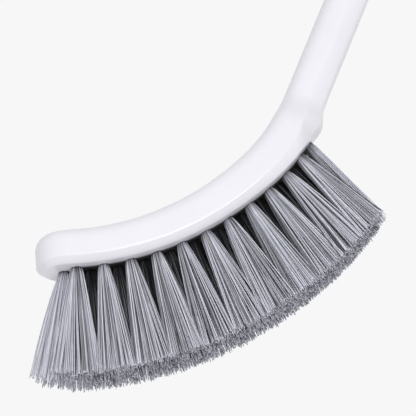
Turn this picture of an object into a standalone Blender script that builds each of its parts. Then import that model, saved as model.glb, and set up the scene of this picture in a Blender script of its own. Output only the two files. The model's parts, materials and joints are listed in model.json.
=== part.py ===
"""Toilet rim brush: a one-piece white moulding, its bristle tufts and the staples that hold them.

Metres, +Z up. The origin is the centre of the hang hole, and the brush hangs straight down from
it: the handle runs along -Z, the head sweeps round towards -X, and the bristles stand on its
outer side and point towards +X and -Z. Both sides of the plane Y = 0 are alike. A distance along
the centre line starts at the hang hole and grows towards the toe.
"""

import math

import bmesh
import bpy
from mathutils import Matrix, Vector

OBJECT_NAME = "toilet_rim_brush"

# Centre line of the moulding: straight handle, neck arc, head arc, short straight toe
HANGING_LENGTH = 0.240
NECK_RADIUS = 0.078
NECK_TURN = math.radians(20.0)
HEAD_RADIUS = 0.110
HEAD_TURN = math.radians(45.2)
TOE_RUN = 0.0159

# Sections of the moulding: width across Y, depth from its back to its bristle face
HEAD_WIDTH = 0.0245
TOE_DEPTH = 0.0146
HANDLE_WIDTH = 0.0150
HANDLE_DEPTH = 0.0166
WIDENING_LENGTH = 0.0160
WIDENING_LEAD = 0.0205

# Rounded edges of the sections: how far they reach in from the side, and along it
HEAD_BACK_WIDTH = 0.0040
HEAD_BACK_HEIGHT = 0.0056
HANDLE_BACK_RADIUS = 0.0066
BACK_BLEND_LENGTH = 0.0500
HEAD_FACE_WIDTH = 0.0041
HEAD_FACE_HEIGHT = 0.00275
HANDLE_FACE_WIDTH = 0.0059
HANDLE_FACE_HEIGHT = 0.0070
EDGE_GROWTH_POWER = 0.85
NARROWING_LENGTH = 0.0100
NARROWING_LEAD = 0.0070

# An edge at the face turns in three bends, a ridge, a bevel and a soft end: the turns at which
# the first two end, and the radii of all three as shares of the bevel's
HEAD_RIDGE_ANGLE = math.radians(50.0)
HEAD_BEVEL_ANGLE = math.radians(60.0)
HEAD_RADIUS_SHARES = (0.06, 1.0, 0.19)
HANDLE_RIDGE_ANGLE = math.radians(27.0)
HANDLE_BEVEL_ANGLE = math.radians(47.0)
HANDLE_RADIUS_SHARES = (0.25, 1.0, 0.19)
CREASE_LENGTH = 0.0450
BEVEL_LENGTH = 0.1450

# The bristle face stands out at the heel, and further in a rounded shoulder above it
SHOULDER_LENGTH = 0.0170
HEEL_RISE = 0.0013
HEEL_FADE_LENGTH = 0.0400
SHOULDER_RISE = 0.0020
SHOULDER_LEAD = 0.0124
SHOULDER_REACH = 0.0092
SHOULDER_TOE_REACH = 0.0066

# Hanging eye at the top of the handle
EYE_WIDTH = 0.0100
EYE_DEPTH = 0.0210
EYE_EDGE_RADIUS = 0.0030
EYE_FLARE_LENGTH = 0.0450
HANG_HOLE_DIAMETER = 0.0090

# Tufts: three rows, the middle one set half a pitch along from its neighbours
OUTER_ROW_TUFTS = 11
ROW_SPACING = 0.0036
TOE_TO_FIRST_TUFT = 0.0161
FIRST_TUFT_OFFSET = 0.0049
TUFT_PITCH = 0.01015
HEEL_PITCH = 0.0086
PITCH_FALL_POWER = 3
HOLE_DIAMETER = 0.0048
HOLE_DEPTH = 0.0062
LAST_TUFT_OFFSET = 0.0066
HEEL_MARGIN = 0.0035
TOE_TUFT_LENGTH = 0.0475
HEEL_TUFT_LENGTH = 0.0420
MIDDLE_TUFT_GAIN = 0.0006

# Direction of the drilled tufts, from straight down towards +X, and how far the ends lean on
TOE_TUFT_ANGLE = math.radians(24.5)
HEEL_TUFT_ANGLE = math.radians(63.0)
TOE_END_LEAN = math.radians(-7.5)
HEEL_END_LEAN = math.radians(-5.0)
OUTER_ROW_LEAN = math.radians(4.5)

# Strands of one tuft: one in the middle and two rings round it
INNER_STRANDS = 5
OUTER_STRANDS = 8
STRAND_SIDES = 3
STRAND_ROOT_RADIUS = 0.00040
STRAND_TIP_RADIUS = 0.00055
STRAND_EDGE_MARGIN = 0.00015
TIP_MARGIN = 0.00025
INNER_RING_SHARE = 0.52

# Root plug of a tuft, and the flat staple that it is folded round
PLUG_RECESS = 0.0005
STRAND_ROOT_OVERLAP = 0.0008
STAPLE_HEIGHT = 0.0020
STAPLE_THICKNESS = 0.00045
FOLD_THICKNESS = 0.0012

# Clearance between touching pieces, and how far a cutter runs past what it cuts
CLEARANCE = 0.0003
OVERRUN = 0.0020

# Counts of facets and of sections along the moulding
BEND_FACET_COUNT = 2
HOLE_SIDES = 12
HANG_HOLE_SIDES = 24
END_SECTION_COUNT = 6
EYE_SECTION_COUNT = 5
HANDLE_SECTION_COUNT = 2
SHOULDER_SECTION_COUNT = 11
HEAD_SECTION_COUNT = 22
SHARP_ANGLE = math.radians(35.0)

# Shares of a quarter turn at which a rounded end's outermost sections lie
FIRST_END_SHARE = 0.13

# Colours as linear red, green and blue
WHITE_PLASTIC = (0.88, 0.88, 0.90)
GREY_BRISTLE = (0.38, 0.39, 0.43)
STAPLE_STEEL = (0.62, 0.61, 0.58)

ROW_NAMES = {-1: "near", 0: "middle", 1: "far"}
STAPLED_ROWS = (-1, 0)


# Scene and materials


def clear_scene():
    """Removes whatever the scene holds."""
    for obj in list(bpy.data.objects):
        bpy.data.objects.remove(obj, do_unlink=True)


def make_collection(name):
    """A new collection linked to the scene."""
    collection = bpy.data.collections.new(name)
    bpy.context.scene.collection.children.link(collection)
    return collection


def make_material(name, colour, roughness, metallic):
    """A Principled material of one colour."""
    material = bpy.data.materials.new(name)
    material.use_nodes = True
    shader = material.node_tree.nodes["Principled BSDF"]
    shader.inputs["Base Color"].default_value = (*colour, 1.0)
    shader.inputs["Roughness"].default_value = roughness
    shader.inputs["Metallic"].default_value = metallic
    return material


def white_plastic():
    return make_material("white_polypropylene", WHITE_PLASTIC, roughness=0.22, metallic=0.0)


def grey_bristle():
    return make_material("grey_bristle", GREY_BRISTLE, roughness=0.45, metallic=0.0)


def staple_steel():
    return make_material("staple_steel", STAPLE_STEEL, roughness=0.30, metallic=1.0)


def make_object(name, bm, collection, material=None):
    """An object of its own from a bmesh, smooth where its facets stand for a round surface."""
    bmesh.ops.recalc_face_normals(bm, faces=bm.faces)
    mesh = bpy.data.meshes.new(name)
    bm.to_mesh(mesh)
    bm.free()
    mesh.shade_smooth()
    mesh.set_sharp_from_angle(angle=SHARP_ANGLE)
    if material:
        mesh.materials.append(material)
    obj = bpy.data.objects.new(name, mesh)
    collection.objects.link(obj)
    return obj


def make_helper(name, bm, collection):
    """A cutter or a union operand, left out of renders."""
    helper = make_object(name, bm, collection)
    helper.hide_render = True
    helper.display_type = "WIRE"
    return helper


def add_boolean(obj, other, operation):
    """Cuts or joins another object's mesh with the exact solver."""
    modifier = obj.modifiers.new(f"{operation.lower()}_{other.name}", "BOOLEAN")
    modifier.operation = operation
    modifier.object = other
    modifier.solver = "EXACT"


# Centre line


def neck_length():
    return NECK_RADIUS * NECK_TURN


def head_arc_length():
    return HEAD_RADIUS * HEAD_TURN


def line_length():
    """Distance along the centre line from the hang hole to the tip of the toe."""
    return HANGING_LENGTH + neck_length() + head_arc_length() + TOE_RUN


def turn_about(point, turn, radius, extra):
    """Where an arc that starts at a point, heading by a turn, has got after a further turn."""
    centre = point - radius * face_normal(turn)
    return centre + radius * face_normal(turn + extra)


def heading(turn):
    """Direction of travel after a turn: straight down at first, then round towards -X."""
    return Vector((-math.sin(turn), 0.0, -math.cos(turn)))


def face_normal(turn):
    """Direction from the centre line to the bristle face after a turn."""
    return Vector((math.cos(turn), 0.0, -math.sin(turn)))


def line_at(distance):
    """Point and turn of the centre line at a distance from the hang hole."""
    if distance <= HANGING_LENGTH:
        return heading(0.0) * distance, 0.0
    neck_start = heading(0.0) * HANGING_LENGTH
    past_neck_start = distance - HANGING_LENGTH
    if past_neck_start <= neck_length():
        turn = past_neck_start / NECK_RADIUS
        return turn_about(neck_start, 0.0, NECK_RADIUS, turn), turn
    head_start = turn_about(neck_start, 0.0, NECK_RADIUS, NECK_TURN)
    past_head_start = past_neck_start - neck_length()
    if past_head_start <= head_arc_length():
        extra = past_head_start / HEAD_RADIUS
        return turn_about(head_start, NECK_TURN, HEAD_RADIUS, extra), NECK_TURN + extra
    toe_start = turn_about(head_start, NECK_TURN, HEAD_RADIUS, HEAD_TURN)
    turn = NECK_TURN + HEAD_TURN
    return toe_start + heading(turn) * (past_head_start - head_arc_length()), turn


# Tuft places


def tuft_pitches():
    """Pitches of an outer row from the toe to the heel: even at first, closer at the heel."""
    last = OUTER_ROW_TUFTS - 2
    fall = TUFT_PITCH - HEEL_PITCH
    return [TUFT_PITCH - fall * (i / last) ** PITCH_FALL_POWER for i in range(last + 1)]


def outer_row_places():
    """Distances of an outer row's tufts along the centre line, from the toe to the heel."""
    places = [line_length() - TOE_TO_FIRST_TUFT]
    for pitch in tuft_pitches():
        places.append(places[-1] - pitch)
    return places


def middle_row_places():
    """The middle row's tufts: between the outer ones, with one more beyond each end."""
    outer = outer_row_places()
    between = [(a + b) / 2 for a, b in zip(outer, outer[1:])]
    return [outer[0] + FIRST_TUFT_OFFSET, *between, outer[-1] - LAST_TUFT_OFFSET]


def row_places(row):
    return middle_row_places() if row == 0 else outer_row_places()


def tuft_share(row, index):
    """0 at an outer row's toe tuft and 1 at its heel tuft; the middle row's ends lie outside."""
    offset = -0.5 if row == 0 else 0.0
    return (index + offset) / (OUTER_ROW_TUFTS - 1)


def tuft_angle(row, index):
    """Angle of a tuft's axis from straight down towards +X."""
    share = tuft_share(row, index)
    angle = blend(TOE_TUFT_ANGLE, HEEL_TUFT_ANGLE, share)
    if share < 0.0:
        angle += TOE_END_LEAN
    if share > 1.0:
        angle += HEEL_END_LEAN
    return angle


def tuft_length(row, index):
    """Length of a tuft from the bristle face to its trimmed tips."""
    share = tuft_share(row, index)
    gain = MIDDLE_TUFT_GAIN * math.sin(math.pi * share)
    return blend(TOE_TUFT_LENGTH, HEEL_TUFT_LENGTH, share) + gain


def tuft_frame(row, index):
    """Matrix of a tuft's mouth: X along the head, Y across it and Z out along the tuft."""
    distance = row_places(row)[index]
    point, turn = line_at(distance)
    mouth = point + face_normal(turn) * face_offset(distance)
    mouth.y = row * ROW_SPACING
    angle = tuft_angle(row, index)
    down = Vector((math.sin(angle), 0.0, -math.cos(angle)))
    across = Vector((0.0, 1.0, 0.0))
    along = across.cross(down)
    rotation = Matrix((along, across, down)).transposed().to_4x4()
    lean = Matrix.Rotation(-row * OUTER_ROW_LEAN, 4, "X")
    return Matrix.Translation(mouth) @ rotation @ lean


def tip_centre(row, index):
    return tuft_frame(row, index) @ Vector((0.0, 0.0, tuft_length(row, index)))


def tip_half_length(row, index):
    """How far a tuft's tips may spread along the head and stay clear of its row's other tufts."""
    places = range(len(row_places(row)))
    centre = tip_centre(row, index)
    nearest = min(
        (tip_centre(row, other) - centre).length for other in places if abs(other - index) == 1
    )
    return nearest / 2 - STRAND_TIP_RADIUS - TIP_MARGIN


def tip_half_width(row, index):
    """How far a tuft's tips may spread across the head and stay clear of the next row."""
    spacing = ROW_SPACING + tuft_length(row, index) * math.sin(OUTER_ROW_LEAN)
    return spacing / 2 - STRAND_TIP_RADIUS - TIP_MARGIN


# Sections of the moulding


def heel_distance():
    """Where the head's full width ends: just past the outer rows' last tufts."""
    return outer_row_places()[-1] - HEEL_MARGIN


def smooth_step(share):
    share = min(max(share, 0.0), 1.0)
    return share * share * (3.0 - 2.0 * share)


def blend(start, end, share):
    return start + (end - start) * share


def blend_all(starts, ends, share):
    return [blend(start, end, share) for start, end in zip(starts, ends)]


def share_past(distance, lead, length):
    """0 up to a lead before the end of the full width, then smoothly to 1 over a length."""
    return smooth_step((distance - heel_distance() + lead) / length)


def head_share(distance):
    """0 on the handle, 1 on the head, and a smooth shoulder between them."""
    return share_past(distance, SHOULDER_LENGTH, SHOULDER_LENGTH)


def eye_share(distance):
    """1 at the hang hole and above it, and 0 below the flare."""
    return smooth_step(1.0 - distance / EYE_FLARE_LENGTH)


def depth_at(distance):
    """Depth of the moulding: the handle's as far as the neck, then falling to the toe's."""
    share = max(distance - HANGING_LENGTH, 0.0) / (line_length() - HANGING_LENGTH)
    depth = blend(HANDLE_DEPTH, TOE_DEPTH, share)
    return blend(depth, EYE_DEPTH, eye_share(distance))


def heel_swell(distance):
    """How far the bristle face stands out near the heel."""
    fade = share_past(distance, 0.0, HEEL_FADE_LENGTH)
    return HEEL_RISE * head_share(distance) * (1.0 - fade)


def face_offset(distance):
    """Distance of the bristle face from the centre line, with the swell and the shoulder."""
    from_peak = distance - heel_distance() + SHOULDER_LEAD
    reach = SHOULDER_TOE_REACH if from_peak > 0.0 else SHOULDER_REACH
    shoulder = SHOULDER_RISE * smooth_step(1.0 - abs(from_peak) / reach)
    return depth_at(distance) / 2 + heel_swell(distance) + shoulder


def rounding(radius, distance_in):
    """How far a quarter-round end draws its side in, at a distance from the end."""
    left = max(radius - distance_in, 0.0)
    return radius - math.sqrt(max(radius * radius - left * left, 0.0))


def oval_rounding(width, height, distance_in):
    """How far an end drawn in as a quarter oval is, at a distance from the end."""
    return rounding(width, distance_in) * height / width


def width_at(distance):
    """Width of the moulding below the eye: the handle's, then widening to the head's."""
    widening = share_past(distance, WIDENING_LEAD, WIDENING_LENGTH)
    return blend(HANDLE_WIDTH, HEAD_WIDTH, widening)


def outline_at(distance):
    """Half width, back and face of the moulding's section at a distance."""
    width = blend(width_at(distance), EYE_WIDTH, eye_share(distance))
    from_tip = line_length() - distance
    half_width = width / 2 - rounding(HEAD_WIDTH / 2, from_tip)
    half_depth = depth_at(distance) / 2
    back = -half_depth + oval_rounding(HEAD_BACK_WIDTH, HEAD_BACK_HEIGHT, from_tip)
    face_inset = oval_rounding(HEAD_FACE_WIDTH, HEAD_FACE_HEIGHT, from_tip)
    face = face_offset(distance) - face_inset
    if distance < 0.0:
        half_depth = math.sqrt(max(half_depth**2 - distance**2, 0.0))
        half_width -= rounding(EYE_EDGE_RADIUS, EYE_DEPTH / 2 + distance)
        back, face = -half_depth, half_depth
    return half_width, back, face


def back_edge_size(distance):
    """Width and height of the edges at the back."""
    past_neck_start = smooth_step((distance - HANGING_LENGTH) / BACK_BLEND_LENGTH)
    width = blend(HANDLE_BACK_RADIUS, HEAD_BACK_WIDTH, past_neck_start)
    height = blend(HANDLE_BACK_RADIUS, HEAD_BACK_HEIGHT, past_neck_start)
    eye = eye_share(distance)
    return blend(width, EYE_EDGE_RADIUS, eye), blend(height, EYE_EDGE_RADIUS, eye)


def face_edge_size(distance):
    """Width and height of the edges at the face, which grow wider with the moulding at first."""
    widened = HANDLE_FACE_WIDTH * (width_at(distance) / HANDLE_WIDTH) ** EDGE_GROWTH_POWER
    narrowing = share_past(distance, NARROWING_LEAD, NARROWING_LENGTH)
    width = blend(widened, HEAD_FACE_WIDTH, narrowing)
    height = blend(HANDLE_FACE_HEIGHT, HEAD_FACE_HEIGHT, head_share(distance))
    height += heel_swell(distance)
    eye = eye_share(distance)
    return blend(width, EYE_EDGE_RADIUS, eye), blend(height, EYE_EDGE_RADIUS, eye)


def face_edge_bends(distance):
    """Turns at which the three bends of the edges at the face end, and their radii as shares."""
    bevel = share_past(distance, CREASE_LENGTH, BEVEL_LENGTH)
    crease = share_past(distance, CREASE_LENGTH, CREASE_LENGTH)
    ridge_angle = blend(HANDLE_RIDGE_ANGLE, HEAD_RIDGE_ANGLE, bevel)
    bevel_angle = blend(HANDLE_BEVEL_ANGLE, HEAD_BEVEL_ANGLE, bevel)
    radius_shares = blend_all(HANDLE_RADIUS_SHARES, HEAD_RADIUS_SHARES, crease)
    return (ridge_angle, bevel_angle, math.pi / 2), radius_shares


def even_bends():
    """The same for an edge that is a plain quarter round."""
    return (math.pi / 6, math.pi / 3, math.pi / 2), (1.0, 1.0, 1.0)


def spread(start, end, count):
    """Evenly spaced values from start up to, but without, end."""
    return [blend(start, end, i / count) for i in range(count)]


def bend_reach(angle, stops, radius_shares):
    """How far in from the side, and along it, an edge's bends reach after a turn, unsized."""
    inward = 0.0
    along = 0.0
    start = 0.0
    for stop, share in zip(stops, radius_shares):
        end = max(min(stop, angle), start)
        inward += share * (math.cos(start) - math.cos(end))
        along += share * (math.sin(end) - math.sin(start))
        start = end
    return inward, along


def edge_steps(size, bends):
    """Points of an edge from the side: how far in, and how far along the side."""
    stops, radius_shares = bends
    angles = []
    start = 0.0
    for stop in stops:
        angles += spread(start, stop, BEND_FACET_COUNT)
        start = stop
    angles.append(start)
    whole = bend_reach(start, stops, radius_shares)
    steps = []
    for angle in angles:
        reach = bend_reach(angle, stops, radius_shares)
        steps.append([size[i] * reach[i] / whole[i] for i in range(2)])
    return steps


def section_edges(distance, half_width, half_height):
    """Points of the edges at the face and of those at the back, held within the section."""
    most = (half_width, half_height)
    face_size = [min(pair) for pair in zip(face_edge_size(distance), most)]
    back_size = [min(pair) for pair in zip(back_edge_size(distance), most)]
    face_edge = edge_steps(face_size, face_edge_bends(distance))
    return face_edge, edge_steps(back_size, even_bends())


def section_ring(distance):
    """Points of the moulding's section, corner by corner, in world space."""
    half_width, back, face = outline_at(distance)
    face_edge, back_edge = section_edges(distance, half_width, (face - back) / 2)
    point, turn = line_at(distance)
    normal = face_normal(turn)
    ring = []
    for corner in range(4):
        on_face = corner < 2
        edge = face_edge if on_face else back_edge
        side = -1.0 if corner in (0, 3) else 1.0
        height = edge[-1][1]
        for inward, along in edge if corner % 2 == 0 else reversed(edge):
            drop = height - along
            place = point + normal * (face - drop if on_face else back + drop)
            place.y = side * (half_width - inward)
            ring.append(place)
    return ring


def end_steps(radius, count):
    """Distances from a round end, close together at the tip, up to its radius."""
    shares = [blend(FIRST_END_SHARE, 1.0, i / count) for i in range(count)]
    return [radius * (1.0 - math.cos(share * math.pi / 2)) for share in shares]


def section_distances():
    """Places of the moulding's sections along the centre line, from the top to the toe."""
    shoulder = heel_distance() - WIDENING_LEAD
    toe_round = line_length() - HEAD_WIDTH / 2
    top = [step - EYE_DEPTH / 2 for step in end_steps(EYE_DEPTH / 2, EYE_SECTION_COUNT)]
    flare = spread(0.0, EYE_FLARE_LENGTH, EYE_SECTION_COUNT)
    handle = spread(EYE_FLARE_LENGTH, shoulder, HANDLE_SECTION_COUNT)
    neck = spread(shoulder, heel_distance(), SHOULDER_SECTION_COUNT)
    head = spread(heel_distance(), toe_round, HEAD_SECTION_COUNT)
    toe = [line_length() - step for step in end_steps(HEAD_WIDTH / 2, END_SECTION_COUNT)]
    return top + flare + handle + neck + head + [toe_round] + toe[::-1]


def loft(rings):
    """A closed skin through rings of equal point count, capped at both ends."""
    bm = bmesh.new()
    loops = [[bm.verts.new(place) for place in ring] for ring in rings]
    for first, second in zip(loops, loops[1:]):
        for i in range(len(first)):
            j = (i + 1) % len(first)
            bm.faces.new((first[i], first[j], second[j], second[i]))
    bm.faces.new(loops[0])
    bm.faces.new(loops[-1])
    return bm


# Pieces


def build_drills(cutters):
    """Every tuft hole's drill in one cutter."""
    bm = bmesh.new()
    for row in ROW_NAMES:
        for index in range(len(row_places(row))):
            length = HOLE_DEPTH + OVERRUN
            middle = Matrix.Translation((0.0, 0.0, (OVERRUN - HOLE_DEPTH) / 2))
            bmesh.ops.create_cone(
                bm,
                cap_ends=True,
                segments=HOLE_SIDES,
                radius1=HOLE_DIAMETER / 2,
                radius2=HOLE_DIAMETER / 2,
                depth=length,
                matrix=tuft_frame(row, index) @ middle,
            )
    return make_helper("tuft_hole_drills", bm, cutters)


def build_hang_drill(cutters):
    """The cutter of the hang hole, across the eye."""
    bm = bmesh.new()
    bmesh.ops.create_cone(
        bm,
        cap_ends=True,
        segments=HANG_HOLE_SIDES,
        radius1=HANG_HOLE_DIAMETER / 2,
        radius2=HANG_HOLE_DIAMETER / 2,
        depth=EYE_WIDTH + 2 * OVERRUN,
        matrix=Matrix.Rotation(math.pi / 2, 4, "X"),
    )
    return make_helper("hang_hole_drill", bm, cutters)


def build_body(parts, cutters, material):
    """Handle, neck and head in one moulding, drilled for the tufts and for hanging."""
    bm = loft([section_ring(distance) for distance in section_distances()])
    body = make_object("handle_and_head", bm, parts, material)
    add_boolean(body, build_hang_drill(cutters), "DIFFERENCE")
    add_boolean(body, build_drills(cutters), "DIFFERENCE")
    return body


def strand_shares():
    """Places of a tuft's strands as shares of its half length and half width."""
    shares = [(0.0, 0.0)]
    for count, ring_share in ((INNER_STRANDS, INNER_RING_SHARE), (OUTER_STRANDS, 1.0)):
        for i in range(count):
            angle = 2 * math.pi * i / count
            shares.append((ring_share * math.cos(angle), ring_share * math.sin(angle)))
    return shares


def plug_radius():
    return HOLE_DIAMETER / 2 - CLEARANCE


def add_strand(bm, share, tip_size):
    """One strand: a slim prism from inside the plug out to the trimmed tips."""
    plug_flat = plug_radius() * math.cos(math.pi / HOLE_SIDES)
    root_reach = plug_flat - STRAND_ROOT_RADIUS - STRAND_EDGE_MARGIN
    root_z = -PLUG_RECESS - STRAND_ROOT_OVERLAP
    root = Vector((share[0] * root_reach, share[1] * root_reach, root_z))
    half_length, half_width, length = tip_size
    tip = Vector((share[0] * half_length, share[1] * half_width, length))
    for_ends = []
    for centre, radius in ((root, STRAND_ROOT_RADIUS), (tip, STRAND_TIP_RADIUS)):
        circle = bmesh.ops.create_circle(
            bm,
            cap_ends=True,
            segments=STRAND_SIDES,
            radius=radius,
            matrix=Matrix.Translation(centre),
        )
        corners = circle["verts"]
        for_ends.append({edge for vert in corners for edge in vert.link_edges})
    bmesh.ops.bridge_loops(bm, edges=list(for_ends[0] | for_ends[1]))


def build_strands(name, frame, tip_size, cutters):
    """All the strands of one tuft, to be joined to its plug."""
    bm = bmesh.new()
    for share in strand_shares():
        add_strand(bm, share, tip_size)
    strands = make_helper(f"{name}_strands", bm, cutters)
    strands.matrix_world = frame
    return strands


def staple_middle():
    """Place of a staple's centre along its tuft: above the fold at the bottom of the hole."""
    plug_bottom = -HOLE_DEPTH + CLEARANCE
    return Matrix.Translation((0.0, 0.0, plug_bottom + FOLD_THICKNESS + STAPLE_HEIGHT / 2))


def add_box(bm, size, place):
    bmesh.ops.create_cube(bm, size=1.0, matrix=place @ Matrix.Diagonal((*size, 1.0)))


def build_slot(name, frame, cutters):
    """The cutter of the slot in which a staple lies, right through the plug."""
    bm = bmesh.new()
    width = STAPLE_THICKNESS + 2 * CLEARANCE
    height = STAPLE_HEIGHT + 2 * CLEARANCE
    add_box(bm, (HOLE_DIAMETER + OVERRUN, width, height), staple_middle())
    slot = make_helper(f"{name}_slot", bm, cutters)
    slot.matrix_world = frame
    return slot


def build_staple(name, frame, parts, material):
    """A flat staple across the bottom of its hole."""
    bm = bmesh.new()
    add_box(bm, (2 * plug_radius(), STAPLE_THICKNESS, STAPLE_HEIGHT), staple_middle())
    staple = make_object(name, bm, parts, material)
    staple.matrix_world = frame
    return staple


def build_tuft(name, frame, tip_size, parts, cutters, material):
    """A tuft: the root plug in its hole and the strands that fan out of it."""
    bm = bmesh.new()
    plug_length = HOLE_DEPTH - CLEARANCE - PLUG_RECESS
    middle = -PLUG_RECESS - plug_length / 2
    bmesh.ops.create_cone(
        bm,
        cap_ends=True,
        segments=HOLE_SIDES,
        radius1=plug_radius(),
        radius2=plug_radius(),
        depth=plug_length,
        matrix=Matrix.Translation((0.0, 0.0, middle)),
    )
    tuft = make_object(name, bm, parts, material)
    tuft.matrix_world = frame
    add_boolean(tuft, build_strands(name, frame, tip_size, cutters), "UNION")
    return tuft


def build_tufts(parts, cutters, bristle, steel):
    """Three rows of tufts, with staples in the rows that have them as pieces of their own."""
    for row, row_name in ROW_NAMES.items():
        for index in range(len(row_places(row))):
            label = f"{row_name}_{index + 1:02d}"
            frame = tuft_frame(row, index)
            half_sizes = (tip_half_length(row, index), tip_half_width(row, index))
            tip_size = (*half_sizes, tuft_length(row, index))
            tuft = build_tuft(f"tuft_{label}", frame, tip_size, parts, cutters, bristle)
            if row in STAPLED_ROWS:
                add_boolean(tuft, build_slot(f"tuft_{label}", frame, cutters), "DIFFERENCE")
                build_staple(f"staple_{label}", frame, parts, steel)


def main():
    clear_scene()
    parts = make_collection(OBJECT_NAME)
    cutters = make_collection("cutters")
    cutters.hide_render = True
    build_body(parts, cutters, white_plastic())
    build_tufts(parts, cutters, grey_bristle(), staple_steel())


main()
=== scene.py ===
"""Toilet rim brush, dressed: a glossy white moulding, its tufts of grey bristle and their staples.

Metres, +Z up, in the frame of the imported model: the origin is the centre of the hang hole, the
handle runs down -Z, the head sweeps round towards -X, and the bristles stand on its outer side,
towards +X and -Z. A distance along the centre line starts at the hang hole and grows towards
the toe. The moulding and the tufts are made anew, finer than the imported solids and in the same
places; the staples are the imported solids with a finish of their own.
"""

from __future__ import annotations

import json
import logging
import math
import random
from abc import ABC, abstractmethod
from collections.abc import Iterable, Iterator, Sequence
from dataclasses import dataclass, field
from enum import Enum

import bmesh
import bpy
from mathutils import Matrix, Quaternion, Vector
from mathutils.kdtree import KDTree

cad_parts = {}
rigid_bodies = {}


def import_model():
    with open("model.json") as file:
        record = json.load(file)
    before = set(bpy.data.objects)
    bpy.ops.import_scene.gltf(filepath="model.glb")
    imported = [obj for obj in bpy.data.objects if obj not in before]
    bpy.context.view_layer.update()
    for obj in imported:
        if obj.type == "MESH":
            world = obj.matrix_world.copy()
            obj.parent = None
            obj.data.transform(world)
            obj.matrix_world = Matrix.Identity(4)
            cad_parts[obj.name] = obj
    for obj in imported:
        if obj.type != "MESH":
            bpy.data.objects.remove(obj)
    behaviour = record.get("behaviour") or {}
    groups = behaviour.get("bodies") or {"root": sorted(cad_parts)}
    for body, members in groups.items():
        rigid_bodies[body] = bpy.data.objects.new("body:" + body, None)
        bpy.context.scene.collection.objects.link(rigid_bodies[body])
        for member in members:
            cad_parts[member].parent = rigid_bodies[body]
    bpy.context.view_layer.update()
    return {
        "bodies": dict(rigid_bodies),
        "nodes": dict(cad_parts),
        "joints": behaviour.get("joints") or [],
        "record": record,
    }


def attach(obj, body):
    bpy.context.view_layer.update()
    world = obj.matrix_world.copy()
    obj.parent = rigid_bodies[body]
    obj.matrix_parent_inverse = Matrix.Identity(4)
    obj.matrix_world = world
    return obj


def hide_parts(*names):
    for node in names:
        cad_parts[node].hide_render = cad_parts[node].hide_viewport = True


Pair = tuple[float, float]
Colour = tuple[float, float, float]
Socket = bpy.types.NodeSocket

LOG = logging.getLogger("rim_brush")
BODY = "root"
# Carries each filament's own tone together with its painted shade and light.
TONE_AND_SHADE_LAYER = "strand_tone_and_shade"
# Where shade is painted on the moulding's bristle face, between the tufts.
SHADED_FACE_LAYER = "shade_between_tufts"
SHARP_ANGLE = math.radians(35.0)  # Between two faces, from which their edge stays sharp.
QUARTER_TURN = math.pi / 2
GOLDEN_ANGLE = math.pi * (3.0 - math.sqrt(5.0))
SEARCH_STEPS = 30  # Halvings, which leave a billionth of the span.
TINY = 1e-9  # Keeps a division from zero.
MIDDLE_ROW_SEED = 2000
ROW_SEED_STEP = 1000
NOISE_SPAN = (0.3, 0.7)  # Holds nearly all of a noise's values.
EVEN = (1.0, 1.0, 1.0)
WHITE = (1.0, 1.0, 1.0)
OUTWARD = Vector((0.0, 0.0, 1.0))


class Row(Enum):
    """The three rows of tufts, by their place across the head."""

    NEAR = -1
    MIDDLE = 0
    FAR = 1


class Slot(Enum):
    """The record's material slots of the pieces made anew."""

    PLASTIC = "white_polypropylene"
    BRISTLE = "grey_bristle"


# Small helpers


def blend(start: float, end: float, share: float) -> float:
    """A value between two others."""
    return start + (end - start) * share


def blend_all(starts: Sequence[float], ends: Sequence[float], share: float) -> list[float]:
    """Values between two rows of others."""
    return [blend(start, end, share) for start, end in zip(starts, ends)]


def smooth_step(share: float) -> float:
    """A share eased at both ends and held within 0 and 1."""
    share = min(max(share, 0.0), 1.0)
    return share * share * (3.0 - 2.0 * share)


def ramp(value: float, start: float, length: float) -> float:
    """An eased share: 0 up to a start, and 1 from a length further on."""
    return smooth_step((value - start) / length)


def spread(start: float, end: float, count: int) -> list[float]:
    """Even steps from one value up to, but without, another."""
    return [blend(start, end, i / count) for i in range(count)]


def rounding(radius: float, distance_in: float) -> float:
    """How far a quarter-round end draws its side in, at a distance from its tip."""
    left = max(radius - distance_in, 0.0)
    return radius - math.sqrt(max(radius * radius - left * left, 0.0))


def sunflower(count: int) -> list[Pair]:
    """Even places on a unit disc, each as its radius and its angle."""
    return [(math.sqrt((i + 0.5) / count), i * GOLDEN_ANGLE) for i in range(count)]


def polar(radius: float, angle: float, height: float = 0.0) -> Vector:
    """A point at a distance and an angle round the Z axis."""
    return Vector((radius * math.cos(angle), radius * math.sin(angle), height))


def stand(origin: Vector, *axes: Vector) -> Matrix:
    """The matrix of a frame with an origin and three axes."""
    return Matrix.Translation(origin) @ Matrix(axes).transposed().to_4x4()


def opaque(colour: Colour) -> tuple[float, ...]:
    """A colour with full alpha."""
    return (*colour, 1.0)


def only(geometry: Iterable[object], kind: type) -> list:
    """What an operator made of one kind, such as its vertices."""
    return [item for item in geometry if isinstance(item, kind)]


def smooth(mesh: bpy.types.Mesh) -> None:
    """Shades a mesh smooth, apart from its sharp edges."""
    mesh.shade_smooth()
    mesh.set_sharp_from_angle(angle=SHARP_ANGLE)


def add_object(name: str, data: bpy.types.ID) -> bpy.types.Object:
    """Makes an object for a mesh, lamp or camera.

    Args:
        name: The object's name.
        data: What it shows.

    Returns:
        The object, linked to the scene and at the origin.
    """
    obj = bpy.data.objects.new(name, data)
    bpy.context.scene.collection.objects.link(obj)
    return obj


def link_mesh(name: str, bm: bmesh.types.BMesh) -> bpy.types.Object:
    """Makes a smooth-shaded object from a bmesh and frees the bmesh.

    Args:
        name: Name of the object and of its mesh.
        bm: The finished shape, in world space.

    Returns:
        The object.
    """
    bmesh.ops.recalc_face_normals(bm, faces=bm.faces)
    mesh = bpy.data.meshes.new(name)
    bm.to_mesh(mesh)
    bm.free()
    smooth(mesh)
    return add_object(name, mesh)


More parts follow.
